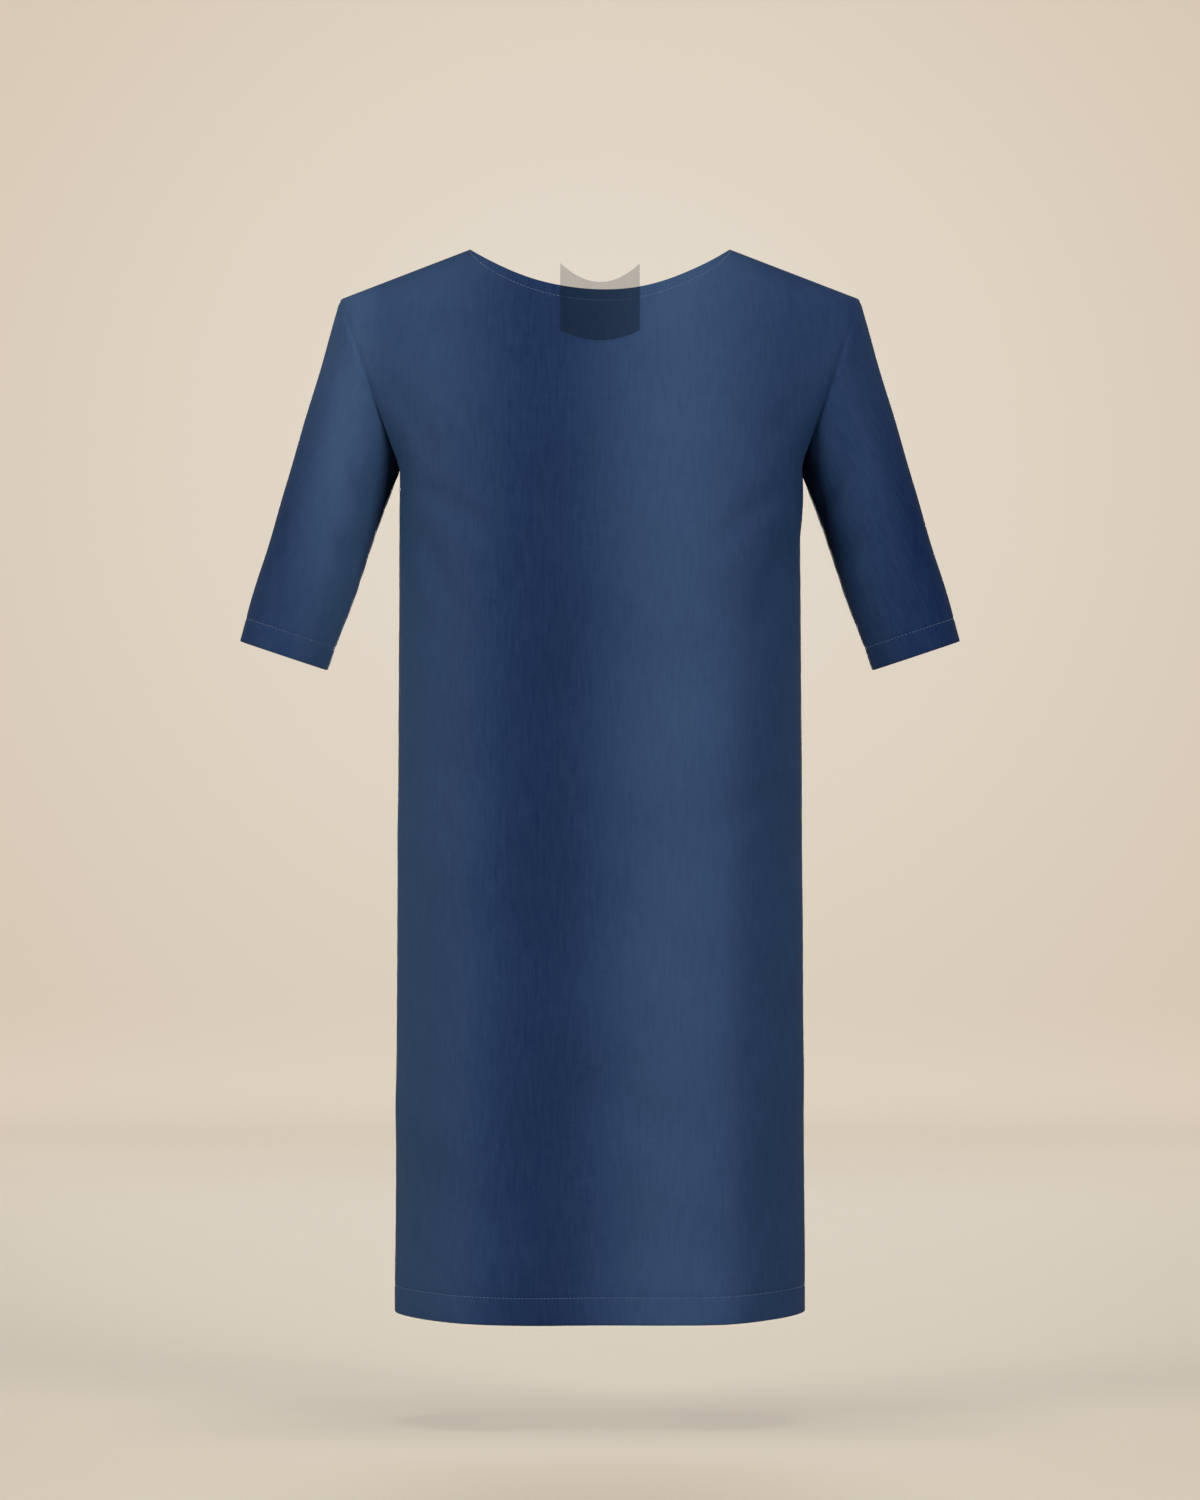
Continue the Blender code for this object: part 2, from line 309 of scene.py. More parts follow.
def swell_height(swells: Sequence[Swell], across: Array, down: Array) -> Array:
    """The sum of slow waves, each the sine of the distance along its heading over its wavelength.

    Args:
        swells: The waves.
        across: First coordinate of each point of the cloth.
        down: Second coordinate of each point of the cloth.

    Returns:
        Height at each point, over 0 outwards.
    """
    total = np.zeros_like(across)
    for swell in swells:
        heading = math.radians(swell.heading)
        along = (across * math.cos(heading) + down * math.sin(heading)) / swell.wavelength
        total += swell.height * np.sin(2 * np.pi * (along + swell.phase))
    return total


# ---- Form: the hollow shape that the cloth is filled out to ----


@dataclass(frozen=True)
class HalfForm:
    """The front or back half of the form, as depths from the seam plane."""

    facing: Facing
    folds: tuple[Fold, ...]
    depths: Numbers
    armhole_depth: float
    cuff_depth: float

    def fold_depth(self, across: Array, fall: Array) -> Array:
        """Sum over the folds of a depth that grows downwards times a bell of the distance across.

        Args:
            across: Places across.
            fall: Places down.

        Returns:
            How far the folds push each place in.
        """
        total = np.zeros_like(across)
        down = np.clip(fall / CUT.hem_fall, 0.0, 1.0)
        for fold in self.folds:
            centre = fold.across_top + (fold.across_hem - fold.across_top) * down
            grown = smoothstep((fall - fold.starts) / (CUT.hem_fall - fold.starts) * CUT.fold_growth)
            depth = fold.depth_top + (fold.depth_hem - fold.depth_top) * grown
            total += depth * bell(across - centre, fold.half_width)
        return total

    def reach(self, across: Array, fall: Array) -> Array:
        """Depth before the section rounds it off: the table's smooth curve less the folds."""
        return smooth_through(fall, CUT.level_falls, self.depths) - self.fold_depth(across, fall)

    def arm_depth(self, t: Array) -> Array:
        """Depth of the sleeve's ellipse on this side, shrinking evenly from armhole to cuff."""
        return self.armhole_depth + (self.cuff_depth - self.armhole_depth) * t

    @staticmethod
    def side_half(fall: Array) -> Array:
        """Half the width between the side seams, a straight line carried on above the underarm."""
        share = (fall - CUT.underarm_fall) / (CUT.hem_fall - CUT.underarm_fall)
        return CUT.chest_half + (CUT.hem_half - CUT.chest_half) * share

    @staticmethod
    def soft_half_width(fall: Array) -> Array:
        """Half width of a section that runs on through the armhole, for places away from the edge.

        Args:
            fall: Places down.

        Returns:
            The half width at each: the shoulder line, and below it the side seam's and the root's extra.
        """
        first = CUT.shoulder_half - float(HalfForm.side_half(np.asarray(CUT.shoulder_fall)))
        knots, extras = (CUT.shoulder_fall, *CUT.root_falls), (first, *CUT.root_extras)
        wide = HalfForm.side_half(fall) + smooth_through(fall, knots, extras, CUT.shoulder_slope)
        return np.where(fall < CUT.shoulder_fall, CUT.neck_half + CUT.shoulder_slope * fall, wide)

    def exact_half_width(self, across: Array, fall: Array) -> Array:
        """Half width of the section that passes exactly through the armhole or the side seam.

        Args:
            across: Places across, of which the sign says which side.
            fall: Places down.

        Returns:
            The half width at each.
        """
        w = np.clip((fall - CUT.shoulder_fall) / (CUT.underarm_fall - CUT.shoulder_fall), 0.0, 1.0)
        armhole = CUT.shoulder_half + (CUT.chest_half - CUT.shoulder_half) * w
        depth = self.armhole_depth * 2 * np.sqrt(w * (1 - w))
        share = depth / self.reach(np.sign(across) * armhole, fall)
        at_arm = armhole / (1 - share**CUT.section_power) ** (1 / CUT.section_power)
        below = np.where(fall < CUT.underarm_fall, at_arm, self.side_half(fall))
        return np.where(fall < CUT.shoulder_fall, CUT.neck_half + CUT.shoulder_slope * fall, below)

    def depth(self, across: Array, fall: Array, edge: Union[Array, float] = 0.0) -> Array:
        """Distance of the cloth from the seam plane.

        The section at each fall is a superellipse: reach times the n-th root of one less the n-th
        power of across over half width.

        Args:
            across: Places across.
            fall: Places down.
            edge: 1 along the armhole and side seam, 0 in the middle.

        Returns:
            The distance, never negative.
        """
        half = self.soft_half_width(fall) * (1 - edge) + self.exact_half_width(across, fall) * edge
        share = np.clip(np.abs(across) / half, 0.0, 1.0)
        return (1 - share**CUT.section_power) ** (1 / CUT.section_power) * self.reach(across, fall)


FRONT_HALF = HalfForm(
    Facing.FRONT,
    FRONT_FOLDS,
    depths=(0.056, 0.068, 0.084, 0.099, 0.110, 0.119, 0.120, 0.117, 0.117, 0.119, 0.121),
    armhole_depth=0.056,
    cuff_depth=0.046,
)
BACK_HALF = HalfForm(
    Facing.BACK,
    BACK_FOLDS,
    depths=(0.052, 0.064, 0.084, 0.095, 0.100, 0.101, 0.099, 0.096, 0.101, 0.106, 0.108),
    armhole_depth=0.052,
    cuff_depth=0.044,
)


def out_of_armhole(points: Array, hand: int) -> Array:
    """Unit directions away from an armhole's middle that lean down the sleeve.

    Both cloths turn in along them at the armhole's seam, so that they meet there face to face.

    Args:
        points: Points of the seam.
        hand: 1 for the wearer's left armhole, -1 for the right.

    Returns:
        One direction a point.
    """
    across, fall = CUT.shoulder_half + CUT.chest_half, CUT.shoulder_fall + CUT.underarm_fall
    middle = np.array([hand * across, 0.0, -fall]) / 2
    drop, run = CUT.underarm_fall - CUT.shoulder_fall, CUT.chest_half - CUT.shoulder_half
    arm_axis = unit(np.array([hand * drop, 0.0, run]))
    return unit(unit(points - middle) + CUT.rim_lean * arm_axis)


# ---- Meshes: grids, and cloth surfaces closed into thin solids ----


def grid_normals(points: Array, ring: bool = False) -> Array:
    """Unit normals of a grid: the cross product of its differences down and across.

    Args:
        points: Rows by columns by 3.
        ring: Whether the last column is followed by the first.

    Returns:
        One normal a point, pointing to the side from which rows run down and columns run right.
    """
    if ring:
        along = np.roll(points, -1, axis=1) - np.roll(points, 1, axis=1)
    else:
        along = np.gradient(points, axis=1)
    return unit(np.cross(np.gradient(points, axis=0), along))


def arc_lengths(points: Array, axis: int) -> Array:
    """Running length of a grid's lines along one axis, starting at 0."""
    steps = np.linalg.norm(np.diff(points, axis=axis), axis=-1)
    start = np.zeros_like(np.take(steps, [0], axis=axis))
    return np.concatenate([start, np.cumsum(steps, axis=axis)], axis=axis)


def quad_corners(number: Array) -> Array:
    """Corner numbers of the cells of a grid, or of each of a stack of grids, as rows of 4."""
    corners = [number[..., :-1, :-1], number[..., 1:, :-1], number[..., 1:, 1:], number[..., :-1, 1:]]
    return np.stack(corners, axis=-1).reshape(-1, 4)


def smooth_mesh(name: str, points: Array, faces: list, material: bpy.types.Material) -> bpy.types.Object:
    """Make a smoothly shaded mesh object at the origin.

    Args:
        name: Its name.
        points: Points in an array of any shape, 3 numbers each.
        faces: The point numbers of each face.
        material: Its finish.

    Returns:
        The new object, in the scene.
    """
    mesh = bpy.data.meshes.new(name)
    mesh.from_pydata(points.reshape(-1, 3).tolist(), [], faces)
    mesh.shade_smooth()
    mesh.materials.append(material)
    made = bpy.data.objects.new(name, mesh)
    bpy.context.scene.collection.objects.link(made)
    return made


class Lengths:
    """Running lengths over a grid of cloth, and from them the distances to its sides and its end."""

    def __init__(self, points: Array) -> None:
        """Measure across from the first column and down from the first row.

        Args:
            points: Rows by columns by 3.
        """
        self.across, self.down = arc_lengths(points, 1), arc_lengths(points, 0)
        self.side = np.minimum(self.across, self.across[:, -1:] - self.across)
        self.end = self.down[-1:] - self.down


@dataclass
class Shell:
    """A closed thin solid between an outer grid and an inner grid, with round free edges.

    Rows run down the cloth and columns run to the right as seen from outside. The top edge is round
    where top_round is 1 and flat, for a seam, where it is 0. Across and down are the flat cloth's
    coordinates; on a ring they have one more column, where the cloth meets its own start.
    """

    name: str
    outer: Array
    normals: Array
    thickness: Array
    across: Array
    down: Array
    top_round: Union[float, Array] = 1.0
    ring: bool = False
    rim_points: int = 3
    sharp_angle: float = 60.0

    def _rim(self, row: int, away: Array, inner: Array, share: Union[float, Array] = 1.0) -> Array:
        """Points of a half circle from the outer to the inner face along one edge row.

        At angle a from 0 to pi a point is the wall's middle plus cos a times half the wall, plus sin
        a times half the wall's thickness along the way out of the edge.

        Args:
            row: The edge row.
            away: Unit directions out of the edge.
            inner: The inner grid.
            share: How much of its round each place has.

        Returns:
            Rim points by columns by 3.
        """
        middle, half = (self.outer[row] + inner[row]) / 2, (self.outer[row] - inner[row]) / 2
        reach = (self.thickness[row] / 2 * share)[:, None]
        angles = np.linspace(0, np.pi, self.rim_points + 2)[1:-1]
        return np.stack([middle + np.cos(a) * half + np.sin(a) * reach * away for a in angles])

    def _loop(self) -> Array:
        """Points down the outer face, round the hem, up the inner face and round the top edge.

        Returns:
            One grid, of which the first row follows the last.
        """
        inner = self.outer - self.thickness[..., None] * self.normals
        hem = self._rim(-1, unit(self.outer[-1] - self.outer[-2]), inner)
        top = self._rim(0, unit(self.outer[0] - self.outer[1]), inner, self.top_round)
        return np.concatenate([self.outer, hem, inner[::-1], top[::-1]])

    def _flat_loop(self) -> Array:
        """Coordinates on the flat cloth for every row of the loop.

        Returns:
            Rows by columns of (across, down).
        """
        flat = np.stack([self.across, self.down], axis=-1)
        hem, top = (np.repeat(edge, self.rim_points, axis=0) for edge in (flat[-1:], flat[:1]))
        return np.concatenate([flat, hem, flat[::-1], top])

    def _side_caps(self, rows: int, columns: int) -> list[list[int]]:
        """Faces that close the two side edges: a strip of quads and a small fan at each end.

        Args:
            rows: Rows of the loop.
            columns: Columns of the loop.

        Returns:
            The point numbers of each face.
        """
        count = len(self.outer)
        hem_end = count + self.rim_points
        caps: list[list[int]] = []
        for column, turn in ((0, 1), (columns - 1, -1)):
            line = (np.arange(rows) * columns + column).tolist()
            outside, inside = line[:count], line[hem_end : hem_end + count][::-1]
            strip = [list(face) for face in zip(outside[:-1], inside[:-1], inside[1:], outside[1:])]
            hem_fan = [outside[-1], inside[-1], *line[count:hem_end][::-1]]
            top_fan = [inside[0], outside[0], *line[hem_end + count :][::-1]]
            caps += [face[::turn] for face in (*strip, hem_fan, top_fan)]
        return caps

    def build(self, material: bpy.types.Material) -> bpy.types.Object:
        """Make the mesh object, with the UV map "cut" that holds the flat cloth's coordinates in metres.

        Args:
            material: The cloth's finish.

        Returns:
            The new object, at the origin.
        """
        loop, flat = self._loop(), self._flat_loop()
        rows, columns = loop.shape[:2]
        wide = flat.shape[1]
        places = np.arange(rows * wide).reshape(rows, wide)
        corners = quad_corners(np.concatenate([places, places[:1]]))
        faces = (corners // wide * columns + corners % wide % columns).tolist()
        caps = [] if self.ring else self._side_caps(rows, columns)
        made = smooth_mesh(self.name, loop, faces + caps, material)
        made.data.set_sharp_from_angle(angle=math.radians(self.sharp_angle))
        corners = np.concatenate([corners.reshape(-1), np.array(sum(caps, []), dtype=int)])
        layer = made.data.uv_layers.new(name="cut")
        layer.data.foreach_set("uv", flat.reshape(-1, 2)[corners].reshape(-1))
        return made


def dress(piece: bpy.types.Object, replaced: Sequence[str] = ()) -> None:
    """Fasten a finished piece to the frame and report it.

    Args:
        piece: The piece.
        replaced: Nodes that it stands for.
    """
    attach(piece, BODY)
    if replaced:
        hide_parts(*replaced)
    triangles = sum(len(face.vertices) - 2 for face in piece.data.polygons)
    LOG.info("%s: %d triangles", piece.name, triangles)


# ---- Shader graphs ----

Input = Union["Value", float, tuple]


class Value:
    """A number in a shader graph that adds Math nodes when it is used in an expression."""

    def __init__(self, graph: "Graph", socket: bpy.types.NodeSocket) -> None:
        """Wrap an output socket of a graph."""
        self.graph = graph
        self.socket = socket

    def _math(self, operation: str, *inputs: Input) -> "Value":
        """One Math node on the given inputs."""
        return self.graph.node("ShaderNodeMath", {"operation": operation}, dict(enumerate(inputs)))

    def __add__(self, other: Input) -> "Value":
        """This plus other."""
        return self._math("ADD", self, other)

    __radd__ = __add__

    def __sub__(self, other: Input) -> "Value":
        """This less other."""
        return self._math("SUBTRACT", self, other)

    def __rsub__(self, other: Input) -> "Value":
        """Other less this."""
        return self._math("SUBTRACT", other, self)

    def __mul__(self, other: Input) -> "Value":
        """This times other."""
        return self._math("MULTIPLY", self, other)

    __rmul__ = __mul__

    def __truediv__(self, other: Input) -> "Value":
        """This over other."""
        return self._math("DIVIDE", self, other)

    def sine(self) -> "Value":
        """The sine of this angle in radians."""
        return self._math("SINE", self)

    def magnitude(self) -> "Value":
        """This without its sign."""
        return self._math("ABSOLUTE", self)

    def held(self, low: float = 0.0, high: float = 1.0) -> "Value":
        """This held between two limits."""
        return self._math("MINIMUM", self._math("MAXIMUM", self, low), high)

    def ramp(self, start: float, end: float) -> "Value":
        """0 at the start and 1 at the end, on a straight line between them and held beyond."""
        return ((self - start) / (end - start)).held()

    def mixed(self, low: Union[Colour, "Value"], high: Union[Colour, "Value"]) -> "Value":
        """The colour this share of the way from low to high.

        Args:
            low: Colour at 0.
            high: Colour at 1.

        Returns:
            The mixed colour.
        """
        low, high = (end if isinstance(end, Value) else (*end, 1.0) for end in (low, high))
        settings = {"data_type": "RGBA", "clamp_factor": True}
        inputs = {"Factor_Float": self, "A_Color": low, "B_Color": high}
        return self.graph.node("ShaderNodeMix", settings, inputs, "Result_Color")


class Graph:
    """A material's node graph and its Principled shader."""

    def __init__(self, name: str) -> None:
        """Start a new material.

        Args:
            name: Its name.
        """
        self.material = bpy.data.materials.new(name)
        self.material.use_nodes = True
        self.nodes = self.material.node_tree.nodes
        self.links = self.material.node_tree.links

    @staticmethod
    def _find(sockets: bpy.types.bpy_prop_collection, key: Union[int, str]) -> bpy.types.NodeSocket:
        """A socket by its number, identifier or name."""
        by_identifier = [socket for socket in sockets if socket.identifier == key]
        return by_identifier[0] if by_identifier else sockets[key]

    def _feed(self, socket: bpy.types.NodeSocket, value: Input) -> None:
        """Link a value to a socket, or set the socket's own number."""
        if isinstance(value, Value):
            self.links.new(value.socket, socket)
        else:
            socket.default_value = value

    def node(
        self, kind: str, settings: dict, inputs: dict[Union[int, str], Input], output: Union[int, str] = 0
    ) -> Value:
        """Add a node.

        Args:
            kind: The node's type.
            settings: Its own settings, set before its sockets.
            inputs: Numbers, tuples or values by socket number, identifier or name.
            output: Which output to return.

        Returns:
            The chosen output.
        """
        made = self.nodes.new(kind)
        for key, value in settings.items():
            setattr(made, key, value)
        for key, value in inputs.items():
            self._feed(self._find(made.inputs, key), value)
        return Value(self, self._find(made.outputs, output))

    def place(self) -> Value:
        """The object's own coordinates."""
        return self.node("ShaderNodeTexCoord", {}, {}, "Object")

    def flat(self) -> Value:
        """The flat cloth's coordinates, from the UV map "cut"."""
        return self.node("ShaderNodeUVMap", {"uv_map": "cut"}, {})

    def part(self, place: Value, axis: str) -> Value:
        """One coordinate of a place, by its letter."""
        return self.node("ShaderNodeSeparateXYZ", {}, {"Vector": place}, axis)

    def stretched(self, place: Value, scale: tuple[float, float, float]) -> Value:
        """A place with each coordinate times its own scale."""
        return self.node("ShaderNodeMapping", {}, {"Vector": place, "Scale": scale})

    def noise(self, place: Value, scale: float, detail: float = 2.0, rough: float = 0.5) -> Value:
        """Smooth noise from 0 to 1 of a place."""
        inputs = {"Vector": place, "Scale": scale, "Detail": detail, "Roughness": rough}
        return self.node("ShaderNodeTexNoise", {}, inputs, "Fac")

    def bump(self, height: Value, strength: float, distance: float, **under: Value) -> Value:
        """A normal tilted by a height; under may name the Normal that it is laid on."""
        inputs = {"Strength": strength, "Distance": distance, "Height": height, **under}
        return self.node("ShaderNodeBump", {}, inputs)

    def finish(self, constants: dict[str, Input], varying: dict[str, Value]) -> bpy.types.Material:
        """Set the shader's sockets.

        Args:
            constants: What is the same all over, by socket name.
            varying: What changes over the surface, by socket name.

        Returns:
            The material.
        """
        for name, value in {**constants, **varying}.items():
            self._feed(self.nodes["Principled BSDF"].inputs[name], value)
        return self.material


# ---- Finishes ----


@dataclass(frozen=True)
class NavyCloth:
    """Smooth medium-weight cloth in a fine plain weave with a soft sheen, with painted light and shade in
    soft bars and patches.
    """

    name: str = "navy_cloth"
    warp: Colour = (0.0131, 0.0281, 0.0585)
    weft: Colour = (0.0001, 0.0037, 0.0195)
    thread: float = 0.00085
    slub_scale: Point = (900.0, 60.0)
    grain_scale: Point = (320.0, 38.0)
    drift_scale: float = 5.0
    crumple_scale: float = 30.0
    roughness: float = 0.72
    sheen: float = 0.004
    # Painted light and shade in place of the lamps' shading of folds and sleeves: bars and a slope of tone
    # across the body, lighter sides below the underarm, a lighter inner half of the right sleeve, and darker
    # outer sides of both sleeves.
    bar_width: float = 0.216
    bar_start: float = 0.007
    bar_reach: Point = (-0.166, 0.175)
    painted_bar_shade: float = 0.23
    lean: float = 0.65
    painted_side_light: float = 0.16
    side_rise: Point = (0.125, 0.165)
    side_fall: Point = (0.200, 0.180)
    side_top: Point = (-0.19, -0.29)
    painted_inner_light: float = 0.30
    inner_rise: Point = (-0.180, -0.205)
    inner_fall: Point = (-0.270, -0.220)
    painted_outer_shade: float = 0.22
    outer_rise: Point = (0.225, 0.265)
    relief: float = 0.00007
    crumple: float = 0.0022

    def _painted_shading(self, g: Graph, place: Value) -> Value:
        """Painted light and shade over the garment, in place of the lamps' shading of its folds and sleeves.

        Across the body they are a sine and a straight line, both held beyond its sides: painted bars of
        light and shade and a painted slope of tone. Below the underarm the sides are painted lighter, and so
        is the right sleeve's inner half. Both sleeves are painted darker outside.

        Args:
            g: The graph.
            place: The object's coordinates.

        Returns:
            What is added to the tone.
        """
        side = g.part(place, "X")
        body, out = side.held(*self.bar_reach), side.magnitude()
        # Painted bars of light and shade, as a sine across the body.
        wave = ((body - self.bar_start) * (2 * math.pi / self.bar_width)).sine()
        low = g.part(place, "Z").ramp(*self.side_top)
        # Painted light on the sides below the underarm and on the right sleeve's inner half, painted shade
        # on the outside of both sleeves.
        sides = out.ramp(*self.side_rise) * out.ramp(*self.side_fall) * low * self.painted_side_light
        inner = side.ramp(*self.inner_rise) * side.ramp(*self.inner_fall) * self.painted_inner_light
        outer = out.ramp(*self.outer_rise) * self.painted_outer_shade
        return wave * self.painted_bar_shade + body * self.lean + sides + inner - outer

    def material(self) -> bpy.types.Material:
        """Make the cloth's finish.

        Warp and weft alternate by the product of two sines of the flat cloth's coordinates. Slubs, a slow
        drift of tone, painted bars and patches of light and shade, and a faint crumple vary colour,
        roughness and normal.

        Returns:
            The material.
        """
        g = Graph(self.name)
        flat, place = g.flat(), g.place()
        turn = math.pi / self.thread
        weave = (g.part(flat, "X") * turn).sine() * (g.part(flat, "Y") * turn).sine() * 0.5 + 0.5
        across_thread, along_thread = self.slub_scale
        warp_slub = g.noise(g.stretched(flat, (across_thread, along_thread, 1.0)), 1.0, 1.0)
        weft_slub = g.noise(g.stretched(flat, (along_thread, across_thread, 1.0)), 1.0, 1.0)
        grain = g.noise(g.stretched(flat, (*self.grain_scale, 1.0)), 1.0)
        drift = g.noise(place, self.drift_scale)
        threads = weave * 0.25 + warp_slub * 0.20 + weft_slub * 0.15 + grain * 0.28
        # The painted light and shade is added to the cloth's own tone here.
        tone = threads + drift * 0.14 + self._painted_shading(g, place) - 0.06
        fine = g.bump(weave * 0.6 + warp_slub * 0.25 + weft_slub * 0.15, 0.5, self.relief)
        constants = {
            "Metallic": 0.0,
            "IOR": 1.46,
            "Specular IOR Level": 0.045,
            "Sheen Weight": self.sheen,
            "Sheen Roughness": 0.45,
            "Sheen Tint": (0.45, 0.55, 0.80, 1.0),
        }
        varying = {
            "Base Color": tone.held().mixed(self.weft, self.warp),
            "Roughness": drift * 0.10 + warp_slub * 0.06 + (self.roughness - 0.08),
            "Normal": g.bump(g.noise(place, self.crumple_scale, 3.0, 0.55), 0.5, self.crumple, Normal=fine),
        }
        return g.finish(constants, varying)


@dataclass(frozen=True)
class SheerCloth:
    """Thin, nearly black net that lets most light through; each of its two faces covers a share of it."""

    name: str = "sheer_cloth"
    dark: Colour = (0.0006, 0.0034, 0.0090)
    light: Colour = (0.0024, 0.0062, 0.0125)
    cover: float = 0.222
    mesh: float = 0.0016

    def material(self) -> bpy.types.Material:
        """Make the net's finish: it covers a little more on the threads, the sum of two sines.

        Returns:
            The material.
        """
        g = Graph(self.name)
        flat = g.flat()
        turn = 2 * math.pi / self.mesh
        threads = ((g.part(flat, "X") * turn).sine() + (g.part(flat, "Y") * turn).sine()) * 0.25 + 0.5
        drift = g.noise(flat, 60.0)
        varying = {
            "Base Color": threads.mixed(self.dark, self.light),
            "Roughness": drift * 0.10 + 0.55,
            "Alpha": threads * 0.05 + drift * 0.03 + (self.cover - 0.04),
            "Normal": g.bump(threads, 0.3, 0.00008),
        }
        return g.finish({"Metallic": 0.0, "Specular IOR Level": 0.05}, varying)


@dataclass(frozen=True)
class SewingThread:
    """Spun thread a shade lighter than the cloth."""

    name: str = "navy_thread"
    dark: Colour = (0.004, 0.014, 0.040)
    light: Colour = (0.007, 0.022, 0.062)

    def material(self) -> bpy.types.Material:
        """Make the thread's finish, with its plies as fine noise of the place.

        Returns:
            The material.
        """
        g = Graph(self.name)
        plies = g.noise(g.place(), 2600.0, 1.0)
        varying = {
            "Base Color": plies.mixed(self.dark, self.light),
            "Roughness": plies * 0.2 + 0.4,
            "Normal": g.bump(plies, 0.4, 0.00005),
        }
        return g.finish({"Metallic": 0.0, "Specular IOR Level": 0.4, "Sheen Weight": 0.15}, varying)


@dataclass(frozen=True)
class Backdrop:
    """Matte pale paper that floor and wall are made of; it also glows, the more the farther out."""

    name: str = "backdrop"
    paper: Colour = (0.160, 0.135, 0.099)
    middle: Colour = (0.690, 0.646, 0.581)
    edge: Colour = (0.577, 0.492, 0.395)
    edge_distance: float = 2.0
    lit_radius: float = 6.9
    lit_steepness: float = 2.1
    least_glow: float = 0.215
    centre_height: float = 0.3

    def material(self) -> bpy.types.Material:
        """Make the paper's finish.

        The glow drifts from middle to edge with distance from a point on the centre line. Within the
        lit radius it sinks smoothly to its least, to make up for the lamps' light on the floor.

        Returns:
            The material.
        """
        g = Graph(self.name)
        place = g.place()
        inputs = {0: g.stretched(place, (1.0, 0.0, 1.0)), 1: (0.0, 0.0, self.centre_height)}
        away = g.node("ShaderNodeVectorMath", {"operation": "DISTANCE"}, inputs, "Value")
        glow = (away / self.edge_distance).held().mixed(self.middle, self.edge)
        plan = g.stretched(place, (1.0 / self.lit_radius, 1.0 / self.lit_radius, 0.0))
        out = g.node("ShaderNodeVectorMath", {"operation": "LENGTH"}, {0: plan}, "Value")
        near = (1.0 - out).held()
        lit = near * near * (3.0 - near * 2.0) * (near * self.lit_steepness).held()
        left_over = 1.0 - lit * (1.0 - self.least_glow)
        darker, lighter = (tuple(c * share for c in self.paper) for share in (0.98, 1.02))
        varying = {
            "Base Color": (g.noise(place, 3.0) * 0.5 + 0.25).mixed(darker, lighter),
            "Emission Color": left_over.mixed((0.0, 0.0, 0.0), glow),
        }
        return g.finish({"Roughness": 0.9, "Specular IOR Level": 0.1, "Emission Strength": 1.0}, varying)


# ---- Sewing ----


@dataclass(frozen=True)
class Sewing:
    """Sizes that the seams, turned edges and stitch lines of all the cloth share."""

    wall: float = 0.0011
    turned_wall: float = 0.0022
    turned_fade: float = 0.0012
    roll_depth: float = 0.0010
    roll_width: float = 0.0032
    stitch_dent: float = 0.0004
    stitch_inset: float = 0.003
    crease_calm: float = 0.012

    def turned(self, from_edge: Array, band: float) -> Array:
        """1 in the band along an edge where the cloth is turned in, 0 beyond it."""
        return smoothstep((band - from_edge) / self.turned_fade + 0.5)

    def thickness(self, turned: Array) -> Array:
        """Wall thickness: one layer, and two where the cloth is turned in."""
        return self.wall + (self.turned_wall - self.wall) * turned

    def dent(self, from_edge: Array, band: float, half_width: float = 0.0016) -> Array:
        """Depth of the dent along the stitch line that holds a turned band."""
        return self.stitch_dent * bell(from_edge - band + self.stitch_inset, half_width)


SEWING = Sewing()


def stitch_line(surface: Array, normals: Array, down: Array, wanted: Array, columns: Sequence[int]) -> Array:
    """Where a stitch line crosses some columns of the cloth.

    Args:
        surface: Points of the cloth.
        normals: Normals of the cloth.
        down: Running length down each column.
        wanted: The length at which each column is read.
        columns: The columns to read.

    Returns:
        Points and normals side by side, 6 numbers each, in the columns' order.
    """
    both = np.concatenate([surface, normals], axis=-1)
    return np.array([[np.interp(wanted[c], down[:, c], both[:, c, k]) for k in range(6)] for c in columns])


@dataclass(frozen=True)
class Stitching:
    """A run of short straight stitches along a line on the cloth."""

    pitch: float = 0.0032
    length: float = 0.0023
    radius: float = 0.00026
    arch: float = 0.6
    bluntness: float = 0.06
    sides: int = 6
    sections: int = 5

    def build(self, name: str, line: Array, thread: bpy.types.Material) -> None:
        """Lay the stitches.

        Each stitch is a spindle: rings whose radius is the square root of one less the fourth power
        of the place along it, laid from its start to its end, half sunk into the cloth.

        Args:
            name: The piece's name.
            line: Points and normals, 6 numbers each, along the cloth.
            thread: The finish.
        """
        run = np.concatenate([[0.0], np.cumsum(np.linalg.norm(np.diff(line[:, :3], axis=0), axis=1))])
        count = int(run[-1] / self.pitch)
        starts = (np.arange(count) + 0.5) * run[-1] / count
        at = starts[:, None] + np.linspace(-0.5, 0.5, self.sections) * self.length
        read = np.stack([np.interp(at, run, line[:, k]) for k in range(6)], axis=-1)
        centre, normal = read[..., :3], unit(read[..., 3:])
        along = unit(centre[:, -1:] - centre[:, :1])
        sideways = unit(np.cross(along, normal))
        place = np.linspace(-1, 1, self.sections)
        girth = self.radius * np.sqrt(np.maximum(1 - place**4, self.bluntness))
        angles = (2 * np.pi * np.arange(self.sides) / self.sides)[None, :, None]
        ring = np.cos(angles) * normal[:, :, None] + np.sin(angles) * sideways[:, :, None]
        arch = (self.radius * self.arch * (1 - place**2))[None, :, None] * normal
        points = (centre + arch)[:, :, None] + girth[:, None, None] * ring
        number = np.arange(points[..., 0].size).reshape(points.shape[:3])
        wrap = np.concatenate([number, number[:, :, :1]], axis=2)
        ends = number[:, 0, ::-1].tolist() + number[:, -1].tolist()
        piece = smooth_mesh(name, points, quad_corners(wrap.swapaxes(1, 2)).tolist() + ends, thread)
        dress(piece)


# ---- Front and back ----


